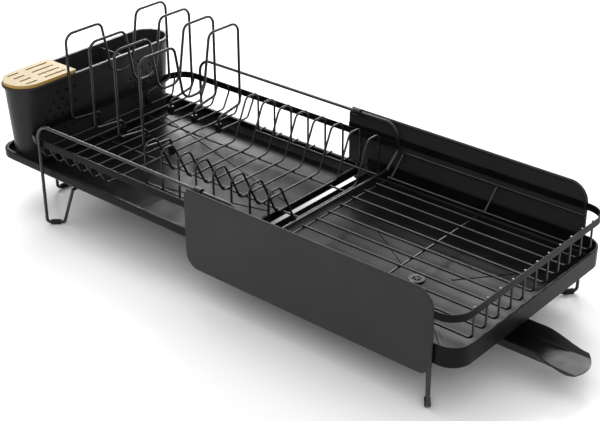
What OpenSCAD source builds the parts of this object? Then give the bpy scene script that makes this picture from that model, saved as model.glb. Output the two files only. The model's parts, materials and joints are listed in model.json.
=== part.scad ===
// Expandable dish drying rack: a wire rack with plate dividers and cup holders, a sliding
// extension with two side panels, two drip trays, a utensil holder and a swivelling spout.
// Sizes are measured from the left legs (x), from the front rail (y) and from the floor (z).

/* [Rack] */
// Distance from the front rail to the back rail
depth = 320; // [300:1:340]
// Length of the rails, from the left legs to the end posts
rail_len = 384.4; // [384:0.1:400]
// Height of the rail's centre line
rail_z = 157.3; // [156:0.1:160]
// Diameter of the rack's frame wire
frame_d = 4.6; // [4.4:0.1:4.8]
// Diameter of the grid wires
grid_d = 3; // [2.8:0.1:3]
// Height of the grid wires' centre line in the rack
grid_z = 97.5; // [97:0.1:98]

/* [Rack grid] */
// Number of cross wires in the cup area
floor_wire_count = 7; // [7]
// Distance between the cross wires in the cup area
floor_wire_pitch = 25; // [24:0.5:25]
// Number of plate dividers
divider_count = 8; // [4:1:8]
// Distance between plate dividers
divider_pitch = 31.9; // [28:0.1:32]
// Top of the plate dividers' centre line
divider_z = 156; // [140:1:158]

/* [Cup holders] */
// Diameter of a cup holder's wire
cup_d = 4; // [3.6:0.1:4.2]
// Height of a cup holder's centre line
cup_z = 253.5; // [240:0.5:270]

/* [Extension] */
// Diameter of the extension's frame wire
ext_frame_d = 4.4; // [4.2:0.1:4.6]
// Number of long floor wires in the extension
ext_wire_count = 11; // [5:2:11]
// Distance between the extension's floor wires
ext_wire_pitch = 25.9; // [20:0.1:26]
// Height of the extension's floor wires
ext_grid_z = 91; // [90.8:0.1:91.2]

/* [Trays] */
// Top of the main tray's rim
tray_top = 86; // [84:0.5:86]
// How far the main tray sticks out past the left legs
tray_over = 113; // [108:1:120]
// Top of the extension tray's rim
ext_tray_top = 90.5; // [88:0.5:90.5]

/* [Utensil holder] */
// Half of the holder's width
holder_r = 34; // [33:0.5:34]
// Top of the holder's rim
holder_top = 189.5; // [170:0.5:200]
// Thickness of the knife block above the rim
block_t = 5; // [4:0.5:8]

/* [Spout] */
// Length of the spout from its swivel to its tip
spout_len = 237; // [200:1:240]
// Angle of the spout at rest, towards the back
spout_rest = 3.5; // [0:0.5:5]

/* [Hidden] */
$fn = 24;

// Shared values
weld = 0.2;
bead = 0.05;
bead_gap = 0.04;
frame_r = frame_d / 2;
grid_r = grid_d / 2;
cup_r = cup_d / 2;
ext_r = ext_frame_d / 2;
foot_z = 3.5;
sleeve_r = 3.9;
bend_r = 22;
mid_y = depth / 2;

// Colours
wire_black = [0.07, 0.07, 0.08];
tray_black = [0.1, 0.1, 0.11];
panel_grey = [0.2, 0.2, 0.21];
plastic_black = [0.05, 0.05, 0.06];
bamboo = [0.87, 0.77, 0.52];

// Rack frame
support_z = grid_z - grid_d + weld;
support_wire_y = [116, 212];
left_wire_x = 44.4;
left_wire_z = 63.9;
leg_foot = [19.3, 15.9];
support_leg_x = -71;
support_leg_y = 79;
post_kink_z = 118;
post_foot_y = 24;
post_foot_z = 97;

// Rim band of the rack
band_z0 = 122.5;
band_h = 10;
band_t = 2;
band_y = 2.2;
band_x = -39;
band_r = 33;

// Plate dividers
last_divider_x = rail_len - frame_r - grid_r + weld;
first_divider_x = last_divider_x - (divider_count - 1) * divider_pitch;
edge_wire_y = [56.8, 278.2];
edge_wire_z = 95.6;

// Main tray
tray_right = 333;
tray_y = 9;
tray_floor_top = 68;
tray_floor_z = 66.5;

// Utensil holder
holder_x = -72;
holder_y0 = 7.5;
holder_foot_z = tray_floor_top + 0.3;
holder_divider_y = [112, 206];
block_end_y = 108;

// Cup holders
cup_x0 = -34;
cup_pitch = 2 * floor_wire_pitch;
cup_mid_y = 188;
cup_half = 98;

// Extension
panel_x0 = 292.5;
panel_x1 = 674.2;
panel_z0 = 46;
panel_z1 = 155.2;
panel_y = -7.2;
panel_t = 1.2;
hem_y = -6.6;
hem_z = 157;
right_leg_x = 676;
ext_band_x1 = 709;
ext_band_y = -6.1;
ext_band_t = 1.6;
ext_cross_x = [392, 546];
ext_cross_z = ext_grid_z - grid_d + weld;
ext_long_y = -4.6;
ext_long_z = 115.7;
right_wire_x = 641;
right_wire_y = 40.4;
right_foot = [right_leg_x - 14, 11.9];
right_wire_z = 59.8;

// Extension tray, drain and spout
ext_tray_x0 = 330;
ext_tray_x1 = 711;
ext_tray_y = -3.6;
ext_floor_z = 62.5;
ext_floor_top = 64;
drain_x = 557;
drain_y = 131;
drain_bore_r = 5.5;
drain_stem_r = 8;
spout_half = 30;
spout_tip_r = 36;

// The model's origin is on the floor under the middle of the object's box
spout_tip_x = drain_x + (spout_len - spout_tip_r) * cos(spout_rest) + spout_tip_r;
mid_x = (spout_tip_x - tray_over) / 2;

function unit(v) = v / norm(v);
function turn_at(a, b, c) = acos(max(-1, min(1, unit(b - a) * unit(c - b))));
function trim_at(a, b, c, r) = r * tan(turn_at(a, b, c) / 2);

// Moves a part from the rack's own measures to the model's origin
module place() {
    translate([-mid_x, -mid_y, 0]) children();
}

// Mirrors a part from the front of the rack to the back
module to_back() {
    translate([0, depth, 0]) mirror([0, 1, 0]) children();
}

// Straight piece of wire from a to b
module rod(a, b, r) {
    v = b - a;
    translate(a)
        rotate([0, acos(v.z / norm(v)), atan2(v.y, v.x)])
            cylinder(h = norm(v), r = r);
}

// Bend of a wire at corner b, between the directions a-b and b-c
module elbow(a, b, c, bend, r) {
    in_dir = unit(b - a);
    out_dir = unit(c - b);
    axis = unit(cross(in_dir, out_dir));
    inward = cross(axis, in_dir);
    start = b - in_dir * trim_at(a, b, c, bend);
    centre = start + inward * bend;
    multmatrix([
        [-inward.x, in_dir.x, axis.x, centre.x],
        [-inward.y, in_dir.y, axis.y, centre.y],
        [-inward.z, in_dir.z, axis.z, centre.z],
        [0, 0, 0, 1]
    ])
        rotate_extrude(angle = turn_at(a, b, c))
            translate([bend, 0]) circle(r = r);
}

// Ball that joins a bend to a straight run, with its poles along the run
module bend_bead(at, along, r) {
    translate(at)
        rotate([0, acos(along.z), atan2(along.y, along.x)])
            sphere(r = r + bead);
}

// Wire along the points p, with a bend of radius bends[i] at each inner point.
// A bead a hair wider than the wire joins each bend to the straight runs beside it.
module wire(p, bends, r) {
    last = len(p) - 1;
    cut = [for (i = [0:last]) (i == 0 || i == last) ? 0 : trim_at(p[i - 1], p[i], p[i + 1], bends[i - 1])];
    for (i = [0:last - 1]) {
        along = unit(p[i + 1] - p[i]);
        a = p[i] + along * (cut[i] + (i > 0 ? bead_gap : 0));
        b = p[i + 1] - along * (cut[i + 1] + (i + 1 < last ? bead_gap : 0));
        if (norm(p[i + 1] - p[i]) - cut[i] - cut[i + 1] > 4 * bead_gap) {
            rod(a, b, r);
            if (i > 0) {
                bend_bead(p[i] + along * cut[i], along, r);
            }
            if (i + 1 < last) {
                bend_bead(p[i + 1] - along * cut[i + 1], along, r);
            }
        }
    }
    for (i = [1:last - 1]) {
        elbow(p[i - 1], p[i], p[i + 1], bends[i - 1], r);
    }
}

// Rubber tube around a wire, in the middle of the line from a to b, with a flat underside
module sleeve(a, b, length, bore_r) {
    v = b - a;
    start = (a + b) / 2 - unit(v) * length / 2;
    difference() {
        translate(start)
            rotate([0, acos(v.z / norm(v)), atan2(v.y, v.x)])
                difference() {
                    cylinder(h = length, r = sleeve_r);
                    translate([0, 0, -1]) cylinder(h = length + 2, r = bore_r);
                }
        translate([start.x - 50, start.y - 50, -10]) cube([100, 100, 10]);
    }
}

// Wall of a pan, length long in x, with its outer face at y = 0.
// The profile's points are [distance inward, height].
module wall_run(length, profile) {
    rotate([90, 0, 90]) linear_extrude(height = length) polygon(profile);
}

// Rounded corner of a pan, from the -x side round to the -y side
module wall_corner(r, profile) {
    rotate([0, 0, 180])
        rotate_extrude(angle = 90)
            polygon([for (p = profile) [r - p.x, p.y]]);
}

// Flat plate with rounded corners, r0 on its left end and r1 on its right end
module rounded_plate(x0, y0, x1, y1, r0, r1, z0, t) {
    translate([0, 0, z0])
        linear_extrude(height = t)
            union() {
                translate([x0 + r0, y0]) square([x1 - r1 - x0 - r0, y1 - y0]);
                if (r0 > 0) {
                    translate([x0, y0 + r0]) square([r0 + 1, y1 - y0 - 2 * r0]);
                    translate([x0 + r0, y0 + r0]) circle(r = r0, $fn = 64);
                    translate([x0 + r0, y1 - r0]) circle(r = r0, $fn = 64);
                }
                if (r1 > 0) {
                    translate([x1 - r1 - 1, y0 + r1]) square([r1 + 1, y1 - y0 - 2 * r1]);
                    translate([x1 - r1, y0 + r1]) circle(r = r1, $fn = 64);
                    translate([x1 - r1, y1 - r1]) circle(r = r1, $fn = 64);
                }
            }
}

// Walls of a pan from [x0, y0] to [x1, y1]; r0 and r1 round its left and right ends
module pan_walls(x0, y0, x1, y1, r0, r1, profile, $fn = 64) {
    run = x1 - x0 - r0 - r1;
    if (run > 0) {
        translate([x0 + r0, y0, 0]) wall_run(run, profile);
        translate([x0 + r0, y1, 0]) mirror([0, 1, 0]) wall_run(run, profile);
    }
    if (r0 > 0) {
        translate([x0, y1 - r0, 0]) rotate([0, 0, -90]) wall_run(y1 - y0 - 2 * r0, profile);
        translate([x0 + r0, y0 + r0, 0]) wall_corner(r0, profile);
        translate([x0 + r0, y1 - r0, 0]) mirror([0, 1, 0]) wall_corner(r0, profile);
    }
    translate([x1, y0 + r1, 0]) rotate([0, 0, 90]) wall_run(y1 - y0 - 2 * r1, profile);
    translate([x1 - r1, y0 + r1, 0]) mirror([1, 0, 0]) wall_corner(r1, profile);
    translate([x1 - r1, y1 - r1, 0]) rotate([0, 0, 180]) wall_corner(r1, profile);
}

// Raised rib on a tray's floor, from a to b
module floor_rib(a, b, z, width, height) {
    v = b - a;
    translate([a.x, a.y, z - 0.5])
        rotate([0, 0, atan2(v.y, v.x)])
            translate([0, -width / 2, 0]) cube([norm(v), width, height + 0.5]);
}

// ---- Rack frame ----

module rail() {
    rod([bend_r, 0, rail_z], [rail_len - bend_r, 0, rail_z], frame_r);
}

module front_rail() {
    color(wire_black) place() rail();
}

module back_rail() {
    color(wire_black) place() to_back() rail();
}

// Outer wire down from the rail, foot bar, and inner wire up to the cross wire under the tray
module left_leg() {
    wire([
        [bend_r, 0, rail_z],
        [0, 0, rail_z],
        [0, 0, foot_z],
        [leg_foot.x, leg_foot.y, foot_z],
        [left_wire_x, leg_foot.y, left_wire_z]
    ], [bend_r, 5, 5], frame_r);
}

module front_left_leg() {
    color(wire_black) place() left_leg();
}

module back_left_leg() {
    color(wire_black) place() to_back() left_leg();
}

module left_foot_sleeves() {
    color(plastic_black) place() {
        left_sleeve();
        to_back() left_sleeve();
    }
}

module left_sleeve() {
    sleeve([0, 0, foot_z], [leg_foot.x, leg_foot.y, foot_z], 14, frame_r - 0.05);
}

module left_cross_wire() {
    color(wire_black) place()
        rod([left_wire_x, leg_foot.y - 1, left_wire_z],
            [left_wire_x, depth - leg_foot.y + 1, left_wire_z], frame_r);
}

// Wide U-shaped leg under the left end of the tray
module left_support_leg() {
    near = support_leg_y;
    far = depth - support_leg_y;
    arm_x = left_wire_x - frame_r + weld;
    color(wire_black) place()
        wire([
            [arm_x, near, left_wire_z],
            [support_leg_x, near, left_wire_z],
            [support_leg_x, near, foot_z],
            [support_leg_x, far, foot_z],
            [support_leg_x, far, left_wire_z],
            [arm_x, far, left_wire_z]
        ], [10, 6, 6, 10], frame_r);
}

module support_foot_sleeves() {
    near = support_leg_y + 7;
    color(plastic_black) place() {
        support_sleeve(near);
        to_back() support_sleeve(near);
    }
}

module support_sleeve(y0) {
    sleeve([support_leg_x, y0, foot_z], [support_leg_x, y0 + 24, foot_z], 24, frame_r - 0.05);
}

// Right end of the rail: down, then slanting inward to the end cross wire
module end_post() {
    wire([
        [rail_len - bend_r, 0, rail_z],
        [rail_len, 0, rail_z],
        [rail_len, 0, post_kink_z],
        [rail_len, post_foot_y, post_foot_z]
    ], [bend_r, 12], frame_r);
}

module front_end_post() {
    color(wire_black) place() end_post();
}

module back_end_post() {
    color(wire_black) place() to_back() end_post();
}

module end_cross_wire() {
    color(wire_black) place()
        rod([rail_len, post_foot_y - 1, post_foot_z], [rail_len, depth - post_foot_y + 1, post_foot_z],
            frame_r);
}

// ---- Rim band and grid of the rack ----

function band_profile(z0, h, t) = [[0, z0], [t, z0], [t, z0 + h], [0, z0 + h]];

module main_rim_band() {
    run = rail_len + 0.4 - band_x - band_r;
    profile = band_profile(band_z0, band_h, band_t);
    color(wire_black) place() {
        for (side = [0, 1]) {
            translate([0, side * depth, 0]) mirror([0, side, 0]) {
                translate([band_x + band_r, band_y, 0]) wall_run(run, profile);
                translate([band_x + band_r, band_y + band_r, 0]) wall_corner(band_r, profile, $fn = 64);
            }
        }
        translate([band_x, depth - band_y - band_r, 0])
            rotate([0, 0, -90]) wall_run(depth - 2 * (band_y + band_r), profile);
    }
}

// Distance from the front rail to the band's inner face at a place along x
function band_inner_y(x) =
    x >= band_x + band_r ? band_y + band_t :
    band_y + band_r - sqrt(pow(band_r - band_t, 2) - pow(band_x + band_r - x, 2));

// Cross wire of the cup area, turned up to the band at both ends
module floor_wire(x) {
    end_y = band_inner_y(x) + grid_r - weld;
    low_y = max(18.5, end_y + 6);
    wire([
        [x, end_y, band_z0 + band_h - 1.5],
        [x, end_y, band_z0 - 1.5],
        [x, low_y, grid_z],
        [x, depth - low_y, grid_z],
        [x, depth - end_y, band_z0 - 1.5],
        [x, depth - end_y, band_z0 + band_h - 1.5]
    ], [6, 6, 6, 6], grid_r);
}

module main_floor_wires() {
    color(wire_black) place()
        for (i = [0:floor_wire_count - 1]) {
            floor_wire(cup_x0 + i * floor_wire_pitch);
        }
}

module main_support_wires() {
    color(wire_black) place()
        for (y = support_wire_y) {
            rod([cup_x0 - 2, y, support_z], [rail_len - 1, y, support_z], grid_r);
        }
}

// Wires along the outer legs of the plate dividers
module divider_edge_wires() {
    x0 = first_divider_x - 3;
    x1 = rail_len - 1.5;
    color(wire_black) place() {
        for (y = edge_wire_y) {
            rod([x0, y, edge_wire_z], [x1, y, edge_wire_z], grid_r);
        }
    }
}

// Plate divider: low arch at the front, floor, and a leaning arch at the back
module plate_divider(x) {
    z0 = grid_z;
    top = divider_z;
    wire([
        [x, 54, z0 - 3],
        [x, 54, top],
        [x, 76, top],
        [x, 104, z0],
        [x, 229, z0],
        [x, 256, top + 1],
        [x, 281, top + 1],
        [x, 281, z0 - 2],
        [x, 296, z0 - 2]
    ], [10, 9, 10, 10, 9, 10, 4], grid_r);
}

module plate_divider_wires() {
    color(wire_black) place()
        for (i = [0:divider_count - 1]) {
            plate_divider(first_divider_x + i * divider_pitch);
        }
}

// ---- Main tray ----

module main_tray() {
    x0 = -tray_over;
    y1 = depth - tray_y;
    top = tray_top;
    profile = [
        [0, 75], [0, top - 1], [1, top], [5, top], [6, top - 1], [6, top - 2], [1.5, top - 3],
        [1.5, 75.6], [10.2, tray_floor_top], [16, tray_floor_top], [16, tray_floor_z], [9.4, tray_floor_z]
    ];
    color(tray_black) place() {
        pan_walls(x0, tray_y, tray_right, y1, 28, 16.5, profile);
        rounded_plate(x0 + 15, tray_y + 15, tray_right - 15, y1 - 15, 13, 1.5, tray_floor_z,
            tray_floor_top - tray_floor_z);
        for (side = [0, 1]) {
            translate([0, side * depth, 0]) mirror([0, side, 0]) {
                floor_rib([-30, 50], [300, 142], tray_floor_top, 5, 0.9);
                floor_rib([-30, 50], [-30, 92], tray_floor_top, 5, 0.9);
            }
        }
    }
}

// ---- Utensil holder and knife block ----

// Three-armed perforation, cut along x
module star_hole(y, z) {
    translate([holder_x + 12, y, z])
        rotate([90, 0, 90])
            linear_extrude(height = 30)
                for (a = [90, 210, 330]) {
                    rotate(a) translate([-0.8, -0.8]) square([5.2, 1.6]);
                }
}

// Rows of perforations near one end of the holder
module star_patch() {
    row_pitch = 11.8;
    star_pitch = 16.1;
    top_row_z = 168;
    counts = [3, 3, 4, 4, 4, 3, 2];
    starts = [74, 66, 58, 49.8, 58, 67.9, 76];
    for (row = [0:len(counts) - 1]) {
        for (i = [0:counts[row] - 1]) {
            star_hole(starts[row] + i * star_pitch, top_row_z - row * row_pitch);
        }
    }
}

module utensil_holder() {
    foot = holder_foot_z;
    top = holder_top;
    y1 = depth - holder_y0;
    profile = [
        [0, top - 3.5], [0, top - 0.6], [0.6, top], [5.3, top], [5.3, top - 3.5], [12.4, foot + 3],
        [18, foot + 2], [18, foot], [12.6, foot], [10.6, foot + 2.2], [3.5, top - 3.5]
    ];
    inner = holder_r - 18;
    color(plastic_black) place() {
        difference() {
            pan_walls(holder_x - holder_r, holder_y0, holder_x + holder_r, y1, holder_r, holder_r, profile);
            star_patch();
            to_back() star_patch();
        }
        rounded_plate(holder_x - inner - 1, holder_y0 + 17, holder_x + inner + 1, y1 - 17,
            inner + 0.9, inner + 0.9, foot, 2);
        for (y = holder_divider_y) {
            holder_divider(y, foot + 1, top - 4);
        }
    }
}

// Wall between two compartments
module holder_divider(y, z0, z1) {
    low = holder_r - 11.8;
    high = holder_r - 4.8;
    translate([holder_x, y + 0.8, 0])
        rotate([90, 0, 0])
            linear_extrude(height = 1.6) polygon([[-low, z0], [low, z0], [high, z1], [-high, z1]]);
}

// Half-round block outline of radius r, from the holder's round end to block_end_y
module block_plate(r, end_y, z0, t) {
    translate([holder_x, 0, z0])
        linear_extrude(height = t) {
            translate([0, holder_y0 + holder_r]) circle(r = r, $fn = 64);
            translate([-r, holder_y0 + holder_r]) square([2 * r, end_y - holder_y0 - holder_r]);
        }
}

// Slot right through the block
module knife_slot(x, y0, length) {
    translate([x - 1.6, y0, holder_top - 20]) cube([3.2, length, 40]);
}

module knife_block() {
    seat = holder_top + 0.3;
    slot_pitch = 14;
    color(bamboo) place()
        difference() {
            union() {
                block_plate(holder_r - 2, block_end_y + 1, seat, block_t);
                block_plate(holder_r - 6.4, block_end_y - 2, seat - 7, 7.1);
            }
            for (i = [0:3]) {
                knife_slot(holder_x + (i - 1.5) * slot_pitch, 27, 19);
                knife_slot(holder_x + (i - 1.5) * slot_pitch, 60, 38);
            }
        }
}

// ---- Cup holders ----

// M-shaped wire: two humps with a valley, standing on one cross wire of the rack
module cup_wire(x) {
    foot = grid_z + grid_r + 1.5;
    bar = 122;
    half = cup_half;
    mid = cup_mid_y;
    cup = mid + 3.5;
    cup_top_half = 34.8;
    cup_low_half = 20.3;
    cup_low_z = cup_z - 83;
    color(wire_black) place()
        wire([
            [x, mid - 46, foot],
            [x, mid - 46, bar - 3],
            [x, mid - half, bar + 2],
            [x, mid - half, cup_z],
            [x, cup - cup_top_half, cup_z],
            [x, cup - cup_low_half, cup_low_z],
            [x, cup + cup_low_half, cup_low_z],
            [x, cup + cup_top_half, cup_z],
            [x, mid + half, cup_z],
            [x, mid + half, bar + 4],
            [x, mid + 51, bar - 4],
            [x, mid + 51, foot]
        ], [6, 7, 14, 11, 19, 19, 11, 14, 7, 6], cup_r);
}

// Plastic clip: a saddle over the rack's cross wire that holds the cup holder's end
module cup_clip(x, y) {
    low = grid_z - 2.4;
    top = grid_z + 11;
    difference() {
        translate([x - 2.6, y - 4.5, low]) cube([5.2, 9, top - low]);
        translate([x - grid_r - 0.35, y - 6, low - 1]) cube([grid_d + 0.7, 12, 1 + 2.4]);
        translate([x, y - 6, grid_z]) rotate([-90, 0, 0]) cylinder(h = 12, r = grid_r + 0.35);
        translate([x, y, grid_z + grid_r + 1.5]) cylinder(h = 20, r = cup_r - 0.05);
    }
}

module cup_clips(x) {
    color(plastic_black) place() {
        cup_clip(x, cup_mid_y - 46);
        cup_clip(x, cup_mid_y + 51);
    }
}

// ---- Extension ----

module ext_rim_band() {
    y0 = ext_band_y;
    r = 28;
    run = ext_band_x1 - r - panel_x0;
    profile = band_profile(band_z0 + 2, band_h, ext_band_t);
    color(wire_black) place() {
        for (side = [0, 1]) {
            translate([0, side * depth, 0]) mirror([0, side, 0]) {
                translate([panel_x0, y0, 0]) wall_run(run, profile);
                translate([ext_band_x1 - r, y0 + r, 0])
                    mirror([1, 0, 0]) wall_corner(r, profile, $fn = 64);
            }
        }
        translate([ext_band_x1, y0 + r, 0])
            rotate([0, 0, 90]) wall_run(depth - 2 * (y0 + r), profile);
    }
}

module ext_floor_wires() {
    half = (ext_wire_count - 1) / 2;
    x1 = ext_band_x1 - ext_band_t - grid_r + weld;
    color(wire_black) place()
        for (k = [-half:half]) {
            y = mid_y + k * ext_wire_pitch;
            wire([
                [ext_cross_x[0] - 1, y, ext_grid_z],
                [x1, y, ext_grid_z],
                [x1, y, band_z0 + band_h + 1.5]
            ], [8], grid_r);
        }
}

// Wires under the floor wires, slanting up to the long wires at both ends
module ext_cross_wires() {
    low_y = 23;
    tip_y = -2.8;
    tip_z = ext_cross_z + low_y - tip_y;
    color(wire_black) place()
        for (x = ext_cross_x) {
            wire([
                [x, tip_y, tip_z],
                [x, low_y, ext_cross_z],
                [x, depth - low_y, ext_cross_z],
                [x, depth - tip_y, tip_z]
            ], [6, 6], grid_r);
        }
}

module ext_long_wires() {
    color(wire_black) place()
        for (y = [ext_long_y, depth - ext_long_y]) {
            rod([ext_cross_x[0] - 4, y, ext_long_z], [right_leg_x, y, ext_long_z], grid_r);
        }
}

// Snap ring that hangs the extension on the rack's rail
module slide_clip(x) {
    ring = 5;
    difference() {
        union() {
            translate([x, 0, rail_z]) rotate([0, 90, 0]) cylinder(h = 12, r = ring);
            translate([x, -6.1, rail_z - 8]) cube([12, 3.2, 8]);
        }
        translate([x - 1, 0, rail_z]) rotate([0, 90, 0]) cylinder(h = 14, r = frame_r + 0.4);
        translate([x - 1, -1.6, rail_z - 9]) cube([14, 3.4, 9]);
    }
}

module slide_clips() {
    color(plastic_black) place() {
        slide_clip(panel_x0 + 14);
        to_back() slide_clip(panel_x0 + 14);
    }
}

// Side panel: sheet with rounded corners, hanging under its hem wire
module panel_sheet() {
    w = panel_x1 - panel_x0;
    h = panel_z1 - panel_z0;
    translate([panel_x0, panel_y + panel_t, panel_z0])
        rotate([90, 0, 0])
            linear_extrude(height = panel_t)
                difference() {
                    square([w, h]);
                    corner_cut(0, 0, 20, 0);
                    corner_cut(w, 0, 14, 90);
                    corner_cut(w, h, bend_r + 1, 180);
                    corner_cut(0, h, 9, 270);
                }
}

// Removes the material outside a corner radius; turn says which corner it is
module corner_cut(x, y, r, turn) {
    translate([x, y]) rotate(turn)
        difference() {
            translate([-1, -1]) square([r + 1, r + 1]);
            translate([r, r]) circle(r = r, $fn = 64);
        }
}

module front_panel() {
    color(panel_grey) place() panel_sheet();
}

module back_panel() {
    color(panel_grey) place() to_back() panel_sheet();
}

// Wire along the panel's top edge and down its right edge
module panel_wire() {
    wire([
        [panel_x0 + 6, hem_y, hem_z],
        [right_leg_x, hem_y, hem_z],
        [right_leg_x, hem_y, panel_z0 + 14]
    ], [bend_r + 3], ext_r);
}

module front_panel_wire() {
    color(panel_grey) place() panel_wire();
}

module back_panel_wire() {
    color(panel_grey) place() to_back() panel_wire();
}

module right_leg() {
    wire([
        [right_leg_x, hem_y, panel_z0 + 14],
        [right_leg_x, hem_y, foot_z],
        [right_foot.x, right_foot.y, foot_z],
        [right_wire_x, right_wire_y, right_wire_z]
    ], [6, 5], ext_r);
}

module front_right_leg() {
    color(wire_black) place() right_leg();
}

module back_right_leg() {
    color(wire_black) place() to_back() right_leg();
}

module right_cross_wire() {
    color(wire_black) place()
        rod(
            [right_wire_x, right_wire_y - 1, right_wire_z],
            [right_wire_x, depth - right_wire_y + 1, right_wire_z], ext_r
        );
}

module right_sleeve() {
    sleeve([right_leg_x, hem_y, foot_z], [right_foot.x, right_foot.y, foot_z], 14, ext_r - 0.05);
}

module right_foot_sleeves() {
    color(plastic_black) place() {
        right_sleeve();
        to_back() right_sleeve();
    }
}

// ---- Extension tray, drain and spout ----

module ext_tray() {
    y0 = ext_tray_y;
    y1 = depth - y0;
    r = 28;
    top = ext_tray_top;
    profile = [
        [0, 64.5], [0, top - 0.8], [0.8, top], [2.4, top], [3, top - 0.6], [3, top - 1.3], [1.4, top - 1.9],
        [1.4, 66], [3.4, ext_floor_top], [8, ext_floor_top], [8, ext_floor_z], [2, ext_floor_z]
    ];
    color(tray_black) place()
        difference() {
            union() {
                pan_walls(ext_tray_x0, y0, ext_tray_x1, y1, 0, r, profile);
                rounded_plate(ext_tray_x0, y0 + 7, ext_tray_x1 - 7, y1 - 7, 0, r - 7, ext_floor_z,
                    ext_floor_top - ext_floor_z);
                translate([ext_tray_x0, y0 + 3, ext_floor_z]) cube([1.5, y1 - y0 - 6, 3.5]);
                ext_ribs();
            }
            translate([drain_x, drain_y, ext_floor_z - 2]) cylinder(h = 8, r = drain_stem_r);
        }
}

// Ribs from the drain towards the tray's corners
module ext_ribs() {
    z = ext_floor_top;
    floor_rib([522, 151], [380, 241], z, 5, 0.9);
    floor_rib([590, 159], [655, 240], z, 5, 0.9);
    floor_rib([584, 110], [668, 28], z, 5, 0.9);
    floor_rib([528, 112], [380, 30], z, 5, 0.9);
}

// Flanged bush through the tray's floor; the spout turns on its lower end
module drain_fitting() {
    color(plastic_black) place()
        translate([drain_x, drain_y, 0])
            difference() {
                union() {
                    translate([0, 0, 49]) cylinder(h = 15.6, r = drain_stem_r);
                    translate([0, 0, 64.6]) cylinder(h = 1.4, r = 11);
                }
                translate([0, 0, 48]) cylinder(h = 20, r = drain_bore_r);
            }
}

module drain_seal() {
    color(plastic_black) place()
        translate([drain_x, drain_y, ext_floor_top])
            difference() {
                cylinder(h = 0.6, r = 10.5);
                translate([0, 0, -1]) cylinder(h = 3, r = drain_stem_r);
            }
}

// Ring at the bush's lower end, which carries the spout
module drain_nut() {
    color(plastic_black) place()
        translate([drain_x, drain_y, 49])
            difference() {
                cylinder(h = 2, r = 11);
                translate([0, 0, -1]) cylinder(h = 4, r = drain_stem_r - 0.05);
            }
}

// Cross-section of the channel, open at the top: [across, up] with the floor's height at 0
module channel_section(half, floor_half, depth_in, t) {
    difference() {
        polygon([
            [-half, depth_in], [-half + 2, depth_in * 0.45], [-floor_half, -t], [floor_half, -t],
            [half - 2, depth_in * 0.45], [half, depth_in]
        ]);
        polygon([
            [-half + t, depth_in + 1], [-half + 2 + t, depth_in * 0.45], [-floor_half + 0.6, 0],
            [floor_half - 0.6, 0], [half - 2 - t, depth_in * 0.45], [half - t, depth_in + 1]
        ]);
    }
}

// Swivelling spout: round cup under the drain and a channel that slopes down to its tip
module spout() {
    slope = 2;
    t = 1.6;
    root_z = 36;
    root_r = spout_half + 1;
    plate_z = 51.3;
    depth_in = 15;
    color(tray_black) place()
        translate([drain_x, drain_y, 0])
            rotate([0, 0, spout_rest]) {
                difference() {
                    translate([0, 0, root_z - t])
                        cylinder(h = plate_z + 2 - root_z + t, r = root_r, $fn = 64);
                    translate([0, 0, root_z]) cylinder(h = plate_z - root_z, r = root_r - t, $fn = 64);
                    translate([4, -24, root_z + 0.3]) cube([40, 48, 10]);
                    cylinder(h = 80, r = drain_stem_r + 0.06);
                }
                difference() {
                    translate([24, 0, root_z])
                        rotate([0, slope, 0]) rotate([90, 0, 90])
                            linear_extrude(height = spout_len - 24)
                                channel_section(spout_half - 1, 21, depth_in, t);
                    translate([0, 0, -1]) cylinder(h = 80, r = root_r - t / 2, $fn = 64);
                    translate([spout_len - 30, -40, root_z + 8]) rotate([0, 22, 0]) cube([60, 80, 40]);
                    difference() {
                        translate([spout_len - 30, -40, 0]) cube([60, 80, 80]);
                        translate([spout_len - spout_tip_r, 0, -1])
                            cylinder(h = 90, r = spout_tip_r, $fn = 96);
                    }
                }
            }
}

// ---- Output ----

front_rail();
back_rail();
front_left_leg();
back_left_leg();
left_foot_sleeves();
left_cross_wire();
left_support_leg();
support_foot_sleeves();
front_end_post();
back_end_post();
end_cross_wire();
main_rim_band();
main_floor_wires();
main_support_wires();
divider_edge_wires();
plate_divider_wires();
main_tray();
utensil_holder();
knife_block();
cup_wire(cup_x0);  // cup_wire_1
cup_wire(cup_x0 + cup_pitch);  // cup_wire_2
cup_wire(cup_x0 + 2 * cup_pitch);  // cup_wire_3
cup_wire(cup_x0 + 3 * cup_pitch);  // cup_wire_4
cup_clips(cup_x0);  // cup_clips_1
cup_clips(cup_x0 + cup_pitch);  // cup_clips_2
cup_clips(cup_x0 + 2 * cup_pitch);  // cup_clips_3
cup_clips(cup_x0 + 3 * cup_pitch);  // cup_clips_4
ext_rim_band();
ext_floor_wires();
ext_cross_wires();
ext_long_wires();
slide_clips();
front_panel();
back_panel();
front_panel_wire();
back_panel_wire();
front_right_leg();
back_right_leg();
right_cross_wire();
right_foot_sleeves();
ext_tray();
drain_fitting();
drain_seal();
drain_nut();
spout();
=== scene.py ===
"""Looks for the expandable dish drying rack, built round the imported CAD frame."""
import json
import math

import bmesh
import bpy
from mathutils import Matrix, Vector


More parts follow.
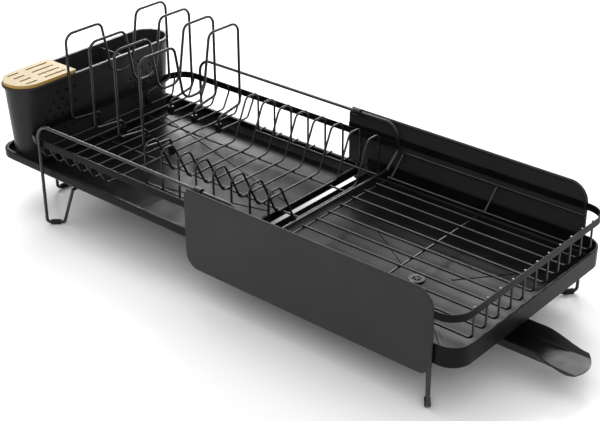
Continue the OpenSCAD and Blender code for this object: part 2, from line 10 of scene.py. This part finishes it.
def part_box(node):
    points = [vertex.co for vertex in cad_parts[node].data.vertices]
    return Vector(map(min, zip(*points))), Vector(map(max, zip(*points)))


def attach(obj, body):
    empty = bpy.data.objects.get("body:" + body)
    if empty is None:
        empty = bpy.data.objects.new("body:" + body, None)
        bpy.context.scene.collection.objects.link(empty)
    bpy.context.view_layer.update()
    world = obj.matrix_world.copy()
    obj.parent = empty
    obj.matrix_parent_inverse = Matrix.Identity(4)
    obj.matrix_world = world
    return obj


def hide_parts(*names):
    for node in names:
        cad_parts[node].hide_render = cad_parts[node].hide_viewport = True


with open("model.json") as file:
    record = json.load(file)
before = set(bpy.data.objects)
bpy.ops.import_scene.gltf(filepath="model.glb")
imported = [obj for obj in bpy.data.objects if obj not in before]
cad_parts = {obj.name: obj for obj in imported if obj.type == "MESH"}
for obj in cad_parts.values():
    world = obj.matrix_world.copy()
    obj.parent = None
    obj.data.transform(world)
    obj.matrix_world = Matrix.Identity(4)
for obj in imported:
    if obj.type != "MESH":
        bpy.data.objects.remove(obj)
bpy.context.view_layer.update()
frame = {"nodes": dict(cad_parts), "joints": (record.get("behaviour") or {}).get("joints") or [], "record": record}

NODE_BODY = {n: b for b, ns in frame["record"]["behaviour"]["bodies"].items() for n in ns}
NODE_SLOT = {s["node"]: s["material_slot"] for s in frame["record"]["subparts"]}
MM = 0.001


# ---- Materials ----

# Noise scales are in features per metre. A noise value mostly lies between NOISE_LOW and NOISE_HIGH.
NOISE_LOW, NOISE_HIGH = 0.3, 0.7
DRIFT_SCALE = 14
GLOSS_SCALE = 35
GRAIN_STRENGTH = 0.35
BAMBOO_STRETCH = (1, 0.04, 1)
FIBRE_SCALE = 1400
STRIP_SCALE = 220
FIBRE_DEPTH = 0.2 * MM


def new_material(name):
    """An empty node material with its output, shader and object coordinates."""
    mat = bpy.data.materials.new(name)
    mat.use_nodes = True
    tree = mat.node_tree
    tree.nodes.clear()
    out = tree.nodes.new("ShaderNodeOutputMaterial")
    shader = tree.nodes.new("ShaderNodeBsdfPrincipled")
    tree.links.new(shader.outputs["BSDF"], out.inputs["Surface"])
    coords = tree.nodes.new("ShaderNodeTexCoord")
    return mat, tree, shader, coords.outputs["Object"]


def noise(tree, vector, scale, detail, roughness=0.5):
    """A noise texture's value."""
    node = tree.nodes.new("ShaderNodeTexNoise")
    node.inputs["Scale"].default_value = scale
    node.inputs["Detail"].default_value = detail
    node.inputs["Roughness"].default_value = roughness
    tree.links.new(vector, node.inputs["Vector"])
    return node.outputs["Fac"]


def ramp(tree, value, low, high, out_low, out_high):
    """Maps value from [low, high] to [out_low, out_high]."""
    node = tree.nodes.new("ShaderNodeMapRange")
    node.inputs["From Min"].default_value = low
    node.inputs["From Max"].default_value = high
    node.inputs["To Min"].default_value = out_low
    node.inputs["To Max"].default_value = out_high
    tree.links.new(value, node.inputs["Value"])
    return node.outputs["Result"]


def mix_colours(tree, fac, a, b):
    """A colour between a and b. Each is a colour or another node's output."""
    node = tree.nodes.new("ShaderNodeMix")
    node.data_type = "RGBA"
    for key, colour in (("A", a), ("B", b)):
        if isinstance(colour, tuple):
            node.inputs[key].default_value = (*colour, 1)
        else:
            tree.links.new(colour, node.inputs[key])
    tree.links.new(fac, node.inputs["Factor"])
    return node.outputs["Result"]


def bump(tree, height, distance, strength):
    """Surface relief from a height value."""
    node = tree.nodes.new("ShaderNodeBump")
    node.inputs["Distance"].default_value = distance
    node.inputs["Strength"].default_value = strength
    tree.links.new(height, node.inputs["Height"])
    return node.outputs["Normal"]


def coated(name, dark, light, rough_low, rough_high, grain_scale, grain_depth, specular):
    """Powder coat or moulded plastic: slow colour drift, uneven gloss and a fine orange peel."""
    mat, tree, shader, coords = new_material(name)
    drift = ramp(tree, noise(tree, coords, DRIFT_SCALE, 1), NOISE_LOW, NOISE_HIGH, 0, 1)
    tree.links.new(mix_colours(tree, drift, dark, light), shader.inputs["Base Color"])
    gloss = ramp(tree, noise(tree, coords, GLOSS_SCALE, 1, 0.4), NOISE_LOW, NOISE_HIGH, rough_low, rough_high)
    tree.links.new(gloss, shader.inputs["Roughness"])
    grain = noise(tree, coords, grain_scale, 2, 0.6)
    tree.links.new(bump(tree, grain, grain_depth, GRAIN_STRENGTH), shader.inputs["Normal"])
    shader.inputs["Specular IOR Level"].default_value = specular
    return mat


def bamboo_material(name, pale, deep, streak):
    """Bamboo with its grain along Y: broad strips, long fibres and darker streaks."""
    mat, tree, shader, coords = new_material(name)
    stretch = tree.nodes.new("ShaderNodeMapping")
    stretch.inputs["Scale"].default_value = BAMBOO_STRETCH
    tree.links.new(coords, stretch.inputs["Vector"])
    fibres = noise(tree, stretch.outputs["Vector"], FIBRE_SCALE, 6, 0.7)
    strips = noise(tree, stretch.outputs["Vector"], STRIP_SCALE, 3)
    base = mix_colours(tree, ramp(tree, strips, NOISE_LOW, NOISE_HIGH, 0, 1), pale, deep)
    streaks = mix_colours(tree, ramp(tree, fibres, 0.52, 0.75, 0, 0.6), base, streak)
    tree.links.new(streaks, shader.inputs["Base Color"])
    tree.links.new(ramp(tree, fibres, NOISE_LOW, NOISE_HIGH, 0.42, 0.6), shader.inputs["Roughness"])
    tree.links.new(bump(tree, fibres, FIBRE_DEPTH, 0.3), shader.inputs["Normal"])
    return mat


# Darkest and lightest base colour of each finish
WIRE = (0.005, 0.005, 0.006), (0.01, 0.01, 0.011)
SHELL = (0.0035, 0.0035, 0.004), (0.007, 0.007, 0.0075)
HOLDER = (0.017, 0.017, 0.0175), (0.022, 0.022, 0.0228)
PANEL = (0.023, 0.0235, 0.0248), (0.027, 0.0275, 0.029)
RUBBER = (0.004, 0.004, 0.004), (0.009, 0.009, 0.009)

# One finish for each material slot: colours, roughness from and to, grain scale and depth, specular
MATERIALS = {
    "frame_wire": coated("black_coat_frame", *WIRE, 0.24, 0.36, 1500, 0.1 * MM, 0.5),
    "grid_wire": coated("black_coat_grid", *WIRE, 0.24, 0.36, 1700, 0.1 * MM, 0.5),
    "cup_wire": coated("black_coat_cups", *WIRE, 0.22, 0.34, 1500, 0.1 * MM, 0.5),
    "band": coated("black_coat_band", *SHELL, 0.26, 0.38, 1400, 0.1 * MM, 0.07),
    "tray": coated("black_coat_tray", *SHELL, 0.28, 0.36, 1100, 0.02 * MM, 0.09),
    "holder_plastic": coated("black_holder_plastic", *HOLDER, 0.32, 0.42, 1300, 0.1 * MM, 0.2),
    "clip_plastic": coated("black_clip_plastic", *SHELL, 0.3, 0.45, 2000, 0.1 * MM, 0.3),
    "panel": coated("grey_panel_coat", *PANEL, 0.46, 0.56, 1500, 0.14 * MM, 0.2),
    "rubber": coated("black_rubber", *RUBBER, 0.6, 0.75, 1200, 0.2 * MM, 0.25),
    "drain_plastic": coated("black_drain_plastic", *SHELL, 0.3, 0.45, 1500, 0.1 * MM, 0.3),
    "spout_plastic": coated("black_spout_plastic", *SHELL, 0.28, 0.38, 1200, 0.1 * MM, 0.25),
    "bamboo": bamboo_material("bamboo_top", (0.47, 0.385, 0.235), (0.41, 0.325, 0.185), (0.29, 0.2, 0.09)),
}
# A darker, more orange copy of the bamboo for the block's sides and slot walls: partly the edge grain's own tone,
# partly painted shade for faces turned away from the light above
BAMBOO_EDGE_AND_SHADE = bamboo_material("bamboo_edge_and_painted_shade", (0.44, 0.27, 0.065), (0.34, 0.19, 0.04), (0.22, 0.11, 0.024))


# ---- Pieces ----

SHARP_ANGLE = math.radians(28)
FLAT_ANGLE = math.radians(0.6)
WELD_DISTANCE = 0.002 * MM
BEVEL_STEPS = 2
FACE_AREA_WEIGHT = 90

# Nodes whose faces have holes or ribs in them: these keep the CAD's triangles
PIERCED = ("utensil_holder", "knife_block", "main_tray", "ext_tray")

# Width of the rounding on the edges that a hand would feel, and the nodes that get it
ROUNDED_NODES = {
    0.4 * MM: ("main_tray", "ext_tray", "utensil_holder", "main_rim_band", "ext_rim_band", "drain_fitting"),
    0.3 * MM: (
        "front_panel", "back_panel", "slide_clips", "drain_nut",
        "left_foot_sleeves", "support_foot_sleeves", "right_foot_sleeves",
        "cup_clips_1", "cup_clips_2", "cup_clips_3", "cup_clips_4",
    ),
}
EDGE_WIDTH = {node: width for width, nodes in ROUNDED_NODES.items() for node in nodes}


def paint(piece, *materials):
    """Gives a piece its finishes."""
    piece.data.materials.clear()
    for mat in materials:
        piece.data.materials.append(mat)


def add_piece(name, work):
    """A new object in the scene from a finished bmesh."""
    mesh = bpy.data.meshes.new(name)
    work.to_mesh(mesh)
    work.free()
    piece = bpy.data.objects.new(name, mesh)
    bpy.context.scene.collection.objects.link(piece)
    return piece


def round_edges(piece, width, clamp=True):
    """Bevels a piece's sharp edges for good, and keeps its flat faces flat in shading."""
    bevel = piece.modifiers.new("rounding", "BEVEL")
    bevel.width = width
    bevel.segments = BEVEL_STEPS
    bevel.limit_method = "ANGLE"
    bevel.angle_limit = SHARP_ANGLE
    bevel.use_clamp_overlap = clamp
    bevel.miter_outer = "MITER_ARC"
    weighted = piece.modifiers.new("flat_faces", "WEIGHTED_NORMAL")
    weighted.mode = "FACE_AREA"
    weighted.weight = FACE_AREA_WEIGHT
    bpy.context.view_layer.update()
    depsgraph = bpy.context.evaluated_depsgraph_get()
    rounded = bpy.data.meshes.new_from_object(piece.evaluated_get(depsgraph))
    piece.modifiers.clear()
    piece.data = rounded


def stand_in(piece, node):
    """The piece shows in place of a CAD node and moves with it."""
    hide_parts(node)
    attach(piece, NODE_BODY[node])


def smooth_faces(work):
    """Smooth shading on every face of a bmesh."""
    for face in work.faces:
        face.smooth = True


def clean_copy(node):
    """A bmesh of a CAD node, with its facets of one plane joined unless it is pierced."""
    work = bmesh.new()
    work.from_mesh(frame["nodes"][node].data)
    bmesh.ops.remove_doubles(work, verts=work.verts, dist=WELD_DISTANCE)
    if node not in PIERCED:
        bmesh.ops.dissolve_limit(
            work, angle_limit=FLAT_ANGLE, verts=work.verts, edges=work.edges, use_dissolve_boundaries=False
        )
    smooth_faces(work)
    return work


def softened(node, width):
    """A copy of a CAD node with rounded edges, which stands in for it."""
    piece = add_piece(node + "_soft", clean_copy(node))
    round_edges(piece, width, clamp=node not in PIERCED)
    stand_in(piece, node)
    return piece


# ---- Knife block ----

BLOCK_EDGE_WIDTH = 0.4 * MM
TOP_FACING = 0.8


def knife_block():
    """Bamboo block: pale on top; its sides and slots get a darker copy of the bamboo, partly the edge grain's own
    tone and partly painted shade.
    """
    piece = softened("knife_block", BLOCK_EDGE_WIDTH)
    paint(piece, MATERIALS["bamboo"], BAMBOO_EDGE_AND_SHADE)
    for face in piece.data.polygons:
        # Faces not turned upwards take the darker copy: edge-grain tone plus painted shade on the sides and inside
        # the slots
        face.material_index = 0 if face.normal.z > TOP_FACING else 1


# ---- Spout ----

# The CAD spout's own measures: angle at rest, slope, floor under the drain, and tip
SPOUT_REST = math.radians(3.5)
SPOUT_SLOPE = math.tan(math.radians(2))
SPOUT_ROOT_FLOOR = 36 * MM
SPOUT_SLOPE_START = 24 * MM
SPOUT_TIP_R = 36 * MM

# The channel: it takes over from the CAD's root at SPOUT_CUT, and its walls sink over SPOUT_FADE
SPOUT_CUT = 62 * MM
SPOUT_OVERLAP = 0.5 * MM
SPOUT_WALL = 1.6 * MM
SPOUT_DEPTH = 15 * MM
SPOUT_LIP = 2.5 * MM
SPOUT_FADE = 62 * MM
SPOUT_HALF_TOP = 27.4 * MM
SPOUT_HALF_FLOOR = 21 * MM
SPOUT_FILLET = 1.4 * MM
SPOUT_RUNS = 44
LIP_RISE = Vector((0.1, 0.6)) * MM
FLOOR_STATIONS = [step * 6 * MM for step in (-2, -1, 0, 1, 2)]
FILLET_STEPS = (-3, -1, -0.5, 0, 0.5, 1)
SPOUT_EDGE_WIDTH = 0.4 * MM


def swivel_axis():
    """Place of the spout's swivel on the floor."""
    joint = next(j for j in frame["joints"] if j["name"] == "spout_swivel")
    return Vector((joint["pos_m"][0], joint["pos_m"][1], 0))


def smooth_step(value, low, high):
    """0 below low, 1 above high, and an S curve between."""
    t = min(max((value - low) / (high - low), 0), 1)
    return t * t * (3 - 2 * t)


def channel_height(across, along, length):
    """Height of the channel's inside above its floor line: flat floor, small fillet, steep wall."""
    past = abs(across) - SPOUT_HALF_FLOOR
    if past <= -SPOUT_FILLET:
        climb = 0
    elif past < SPOUT_FILLET:
        climb = (past + SPOUT_FILLET) ** 2 / (4 * SPOUT_FILLET)
    else:
        climb = past
    depth = SPOUT_DEPTH + (SPOUT_LIP - SPOUT_DEPTH) * smooth_step(along, length - SPOUT_FADE, length)
    return depth * climb / (SPOUT_HALF_TOP - SPOUT_HALF_FLOOR)


def channel_section(along, length):
    """Closed outline of the channel, inside from left to right and outside back, as (across, height)."""
    side = [SPOUT_HALF_FLOOR + SPOUT_FILLET * step for step in FILLET_STEPS]
    side += [SPOUT_HALF_TOP - 2 * MM, SPOUT_HALF_TOP]
    stations = [-a for a in reversed(side)] + FLOOR_STATIONS + side
    inner = [Vector((across, channel_height(across, along, length))) for across in stations]
    outer = []
    for i, point in enumerate(inner):
        before, after = inner[max(i - 1, 0)], inner[min(i + 1, len(inner) - 1)]
        run = (after - before).normalized()
        outer.append(point + Vector((run.y, -run.x)) * SPOUT_WALL)
    lip_right = (inner[-1] + outer[-1]) / 2 + LIP_RISE
    lip_left = (inner[0] + outer[0]) / 2 + Vector((-LIP_RISE.x, LIP_RISE.y))
    return inner + [lip_right] + outer[::-1] + [lip_left]


def channel_ring(work, pivot, forward, share, length):
    """One outline of the channel, at a share of its run; its end follows the rounded tip."""
    leftward = Vector((-forward.y, forward.x, 0))
    nominal = SPOUT_CUT + share * (length - SPOUT_CUT)
    floor = SPOUT_ROOT_FLOOR - (nominal - SPOUT_SLOPE_START) * SPOUT_SLOPE
    start = SPOUT_CUT - SPOUT_OVERLAP
    ring = []
    for across, height in channel_section(nominal, length):
        reach = length - SPOUT_TIP_R + math.sqrt(max(SPOUT_TIP_R ** 2 - across ** 2, 0))
        along = start + share * (reach - start)
        place = pivot + forward * along + leftward * across + Vector((0, 0, floor + height))
        ring.append(work.verts.new(place))
    return ring


def close_tip(work, ring):
    """Faces over the channel's open end, between its inside and its outside."""
    count = len(ring)
    half = count // 2
    for i in range(half - 2):
        j = count - 2 - i
        work.faces.new((ring[i], ring[j], ring[j - 1], ring[i + 1]))
    work.faces.new((ring[0], ring[count - 1], ring[count - 2]))
    work.faces.new((ring[half - 2], ring[half], ring[half - 1]))


def spout():
    """The CAD spout's swivel end, joined to a channel that opens into a rounded scoop."""
    pivot = swivel_axis()
    tip_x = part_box("spout")[1].x
    length = (tip_x - pivot.x - SPOUT_TIP_R) / math.cos(SPOUT_REST) + SPOUT_TIP_R
    forward = Vector((math.cos(SPOUT_REST), math.sin(SPOUT_REST), 0))
    work = clean_copy("spout")
    cut = bmesh.ops.bisect_plane(
        work, geom=work.verts[:] + work.edges[:] + work.faces[:], plane_co=pivot + forward * SPOUT_CUT,
        plane_no=forward, clear_outer=True
    )
    rim = [e for e in cut["geom_cut"] if isinstance(e, bmesh.types.BMEdge)]
    bmesh.ops.holes_fill(work, edges=rim, sides=0)
    rings = [channel_ring(work, pivot, forward, k / SPOUT_RUNS, length) for k in range(SPOUT_RUNS + 1)]
    count = len(rings[0])
    for one, other in zip(rings, rings[1:]):
        for i in range(count):
            j = (i + 1) % count
            work.faces.new((one[i], other[i], other[j], one[j]))
    work.faces.new(rings[0])
    close_tip(work, rings[-1])
    bmesh.ops.recalc_face_normals(work, faces=work.faces)
    smooth_faces(work)
    piece = add_piece("spout_scoop", work)
    round_edges(piece, SPOUT_EDGE_WIDTH)
    stand_in(piece, "spout")
    paint(piece, MATERIALS["spout_plastic"])


# ---- Drain strainer ----

STRAINER_BAR = (13.5 * MM, 1.5 * MM, 1.2 * MM)
STRAINER_BARS = 3
STRAINER_TURN = math.radians(15)
STRAINER_SINK = 0.6 * MM
STRAINER_EDGE_WIDTH = 0.2 * MM


def drain_strainer():
    """Crossed bars with a hub, pressed into the drain's mouth."""
    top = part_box("drain_fitting")[1].z
    centre = swivel_axis() + Vector((0, 0, top - STRAINER_SINK))
    work = bmesh.new()
    for k in range(STRAINER_BARS):
        bar = bmesh.ops.create_cube(work, size=1)["verts"]
        turn = Matrix.Rotation(math.pi * k / STRAINER_BARS + STRAINER_TURN, 3, "Z")
        bmesh.ops.scale(work, verts=bar, vec=STRAINER_BAR)
        bmesh.ops.rotate(work, verts=bar, matrix=turn)
        bmesh.ops.translate(work, verts=bar, vec=centre)
    hub = bmesh.ops.create_cone(
        work, cap_ends=True, segments=32, radius1=3 * MM, radius2=2.2 * MM, depth=2 * MM
    )
    bmesh.ops.translate(work, verts=hub["verts"], vec=centre)
    piece = add_piece("drain_strainer", work)
    round_edges(piece, STRAINER_EDGE_WIDTH)
    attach(piece, NODE_BODY["drain_fitting"])
    paint(piece, MATERIALS["drain_plastic"])


for node_name, cad_object in frame["nodes"].items():
    finish = MATERIALS[NODE_SLOT[node_name]]
    paint(cad_object, finish)
    if node_name in EDGE_WIDTH:
        paint(softened(node_name, EDGE_WIDTH[node_name]), finish)
knife_block()
spout()
drain_strainer()


# ---- Stage, lights and camera ----

FLOOR_HALF = 6.0
FLOOR_COLOUR = (0.9, 0.9, 0.9, 1)
SKY_HORIZON, SKY_ZENITH = 0.42, 1.3
LIGHT_AIM = (0, 0, 0.1)


def stage_floor():
    """A pale seamless floor."""
    h = FLOOR_HALF
    mesh = bpy.data.meshes.new("floor")
    mesh.from_pydata([(-h, -h, 0), (h, -h, 0), (h, h, 0), (-h, h, 0)], [], [(0, 1, 2, 3)])
    floor = bpy.data.objects.new("floor", mesh)
    bpy.context.scene.collection.objects.link(floor)
    mat, _, shader, _ = new_material("pale_floor")
    shader.inputs["Base Color"].default_value = FLOOR_COLOUR
    shader.inputs["Roughness"].default_value = 0.6
    mesh.materials.append(mat)


def softbox(name, place, size, power):
    """A large rectangular light that looks at the object."""
    data = bpy.data.lights.new(name, "AREA")
    data.shape = "RECTANGLE"
    data.size, data.size_y = size
    data.energy = power
    lamp = bpy.data.objects.new(name, data)
    lamp.location = place
    lamp.rotation_euler = (Vector(LIGHT_AIM) - Vector(place)).to_track_quat("-Z", "Y").to_euler()
    bpy.context.scene.collection.objects.link(lamp)


def sky_gradient(world):
    """White surroundings that are darker towards the horizon."""
    tree = world.node_tree
    coords = tree.nodes.new("ShaderNodeTexCoord")
    split = tree.nodes.new("ShaderNodeSeparateXYZ")
    tree.links.new(coords.outputs["Generated"], split.inputs["Vector"])
    background = tree.nodes["Background"]
    background.inputs["Color"].default_value = (1, 1, 1, 1)
    strength = ramp(tree, split.outputs["Z"], 0, 1, SKY_HORIZON, SKY_ZENITH)
    tree.links.new(strength, background.inputs["Strength"])


def studio():
    """A white sky, softboxes far behind that glance off the level surfaces, a key and a fill."""
    world = bpy.data.worlds.new("studio")
    world.use_nodes = True
    sky_gradient(world)
    bpy.context.scene.world = world
    softbox("glance_right", (-0.62, 1.95, 1.6), (0.9, 0.45), 20)
    softbox("glance_middle", (-1.5, 1.9, 1.4), (0.9, 0.6), 9)
    softbox("glance_left", (-2.4, 1.9, 1.2), (0.8, 0.5), 22)
    softbox("key", (-1.4, 0.2, 1.9), (1.3, 0.9), 14)
    softbox("fill", (1.6, -1.4, 1.4), (1.0, 1.0), 6)


def camera():
    """The viewing angle of the reference: from the front right, slightly above."""
    azimuth, elevation, roll = math.radians(40.71), math.radians(28.216), math.radians(-0.21)
    target = Vector((-0.0893, 0.1054, 0.0))
    distance = 1.9245
    back = Vector((
        math.sin(azimuth) * math.cos(elevation),
        -math.cos(azimuth) * math.cos(elevation),
        math.sin(elevation),
    ))
    right = Vector((0, 0, 1)).cross(back).normalized()
    up = back.cross(right)
    right_rolled = right * math.cos(roll) + up * math.sin(roll)
    up_rolled = up * math.cos(roll) - right * math.sin(roll)
    data = bpy.data.cameras.new("camera")
    data.lens = 78.76
    data.sensor_width = 36
    cam = bpy.data.objects.new("camera", data)
    bpy.context.scene.collection.objects.link(cam)
    turn = Matrix((right_rolled, up_rolled, back)).transposed()
    cam.matrix_world = Matrix.Translation(target + back * distance) @ turn.to_4x4()
    bpy.context.scene.camera = cam


stage_floor()
studio()
camera()
bpy.context.scene.view_settings.view_transform = "Standard"
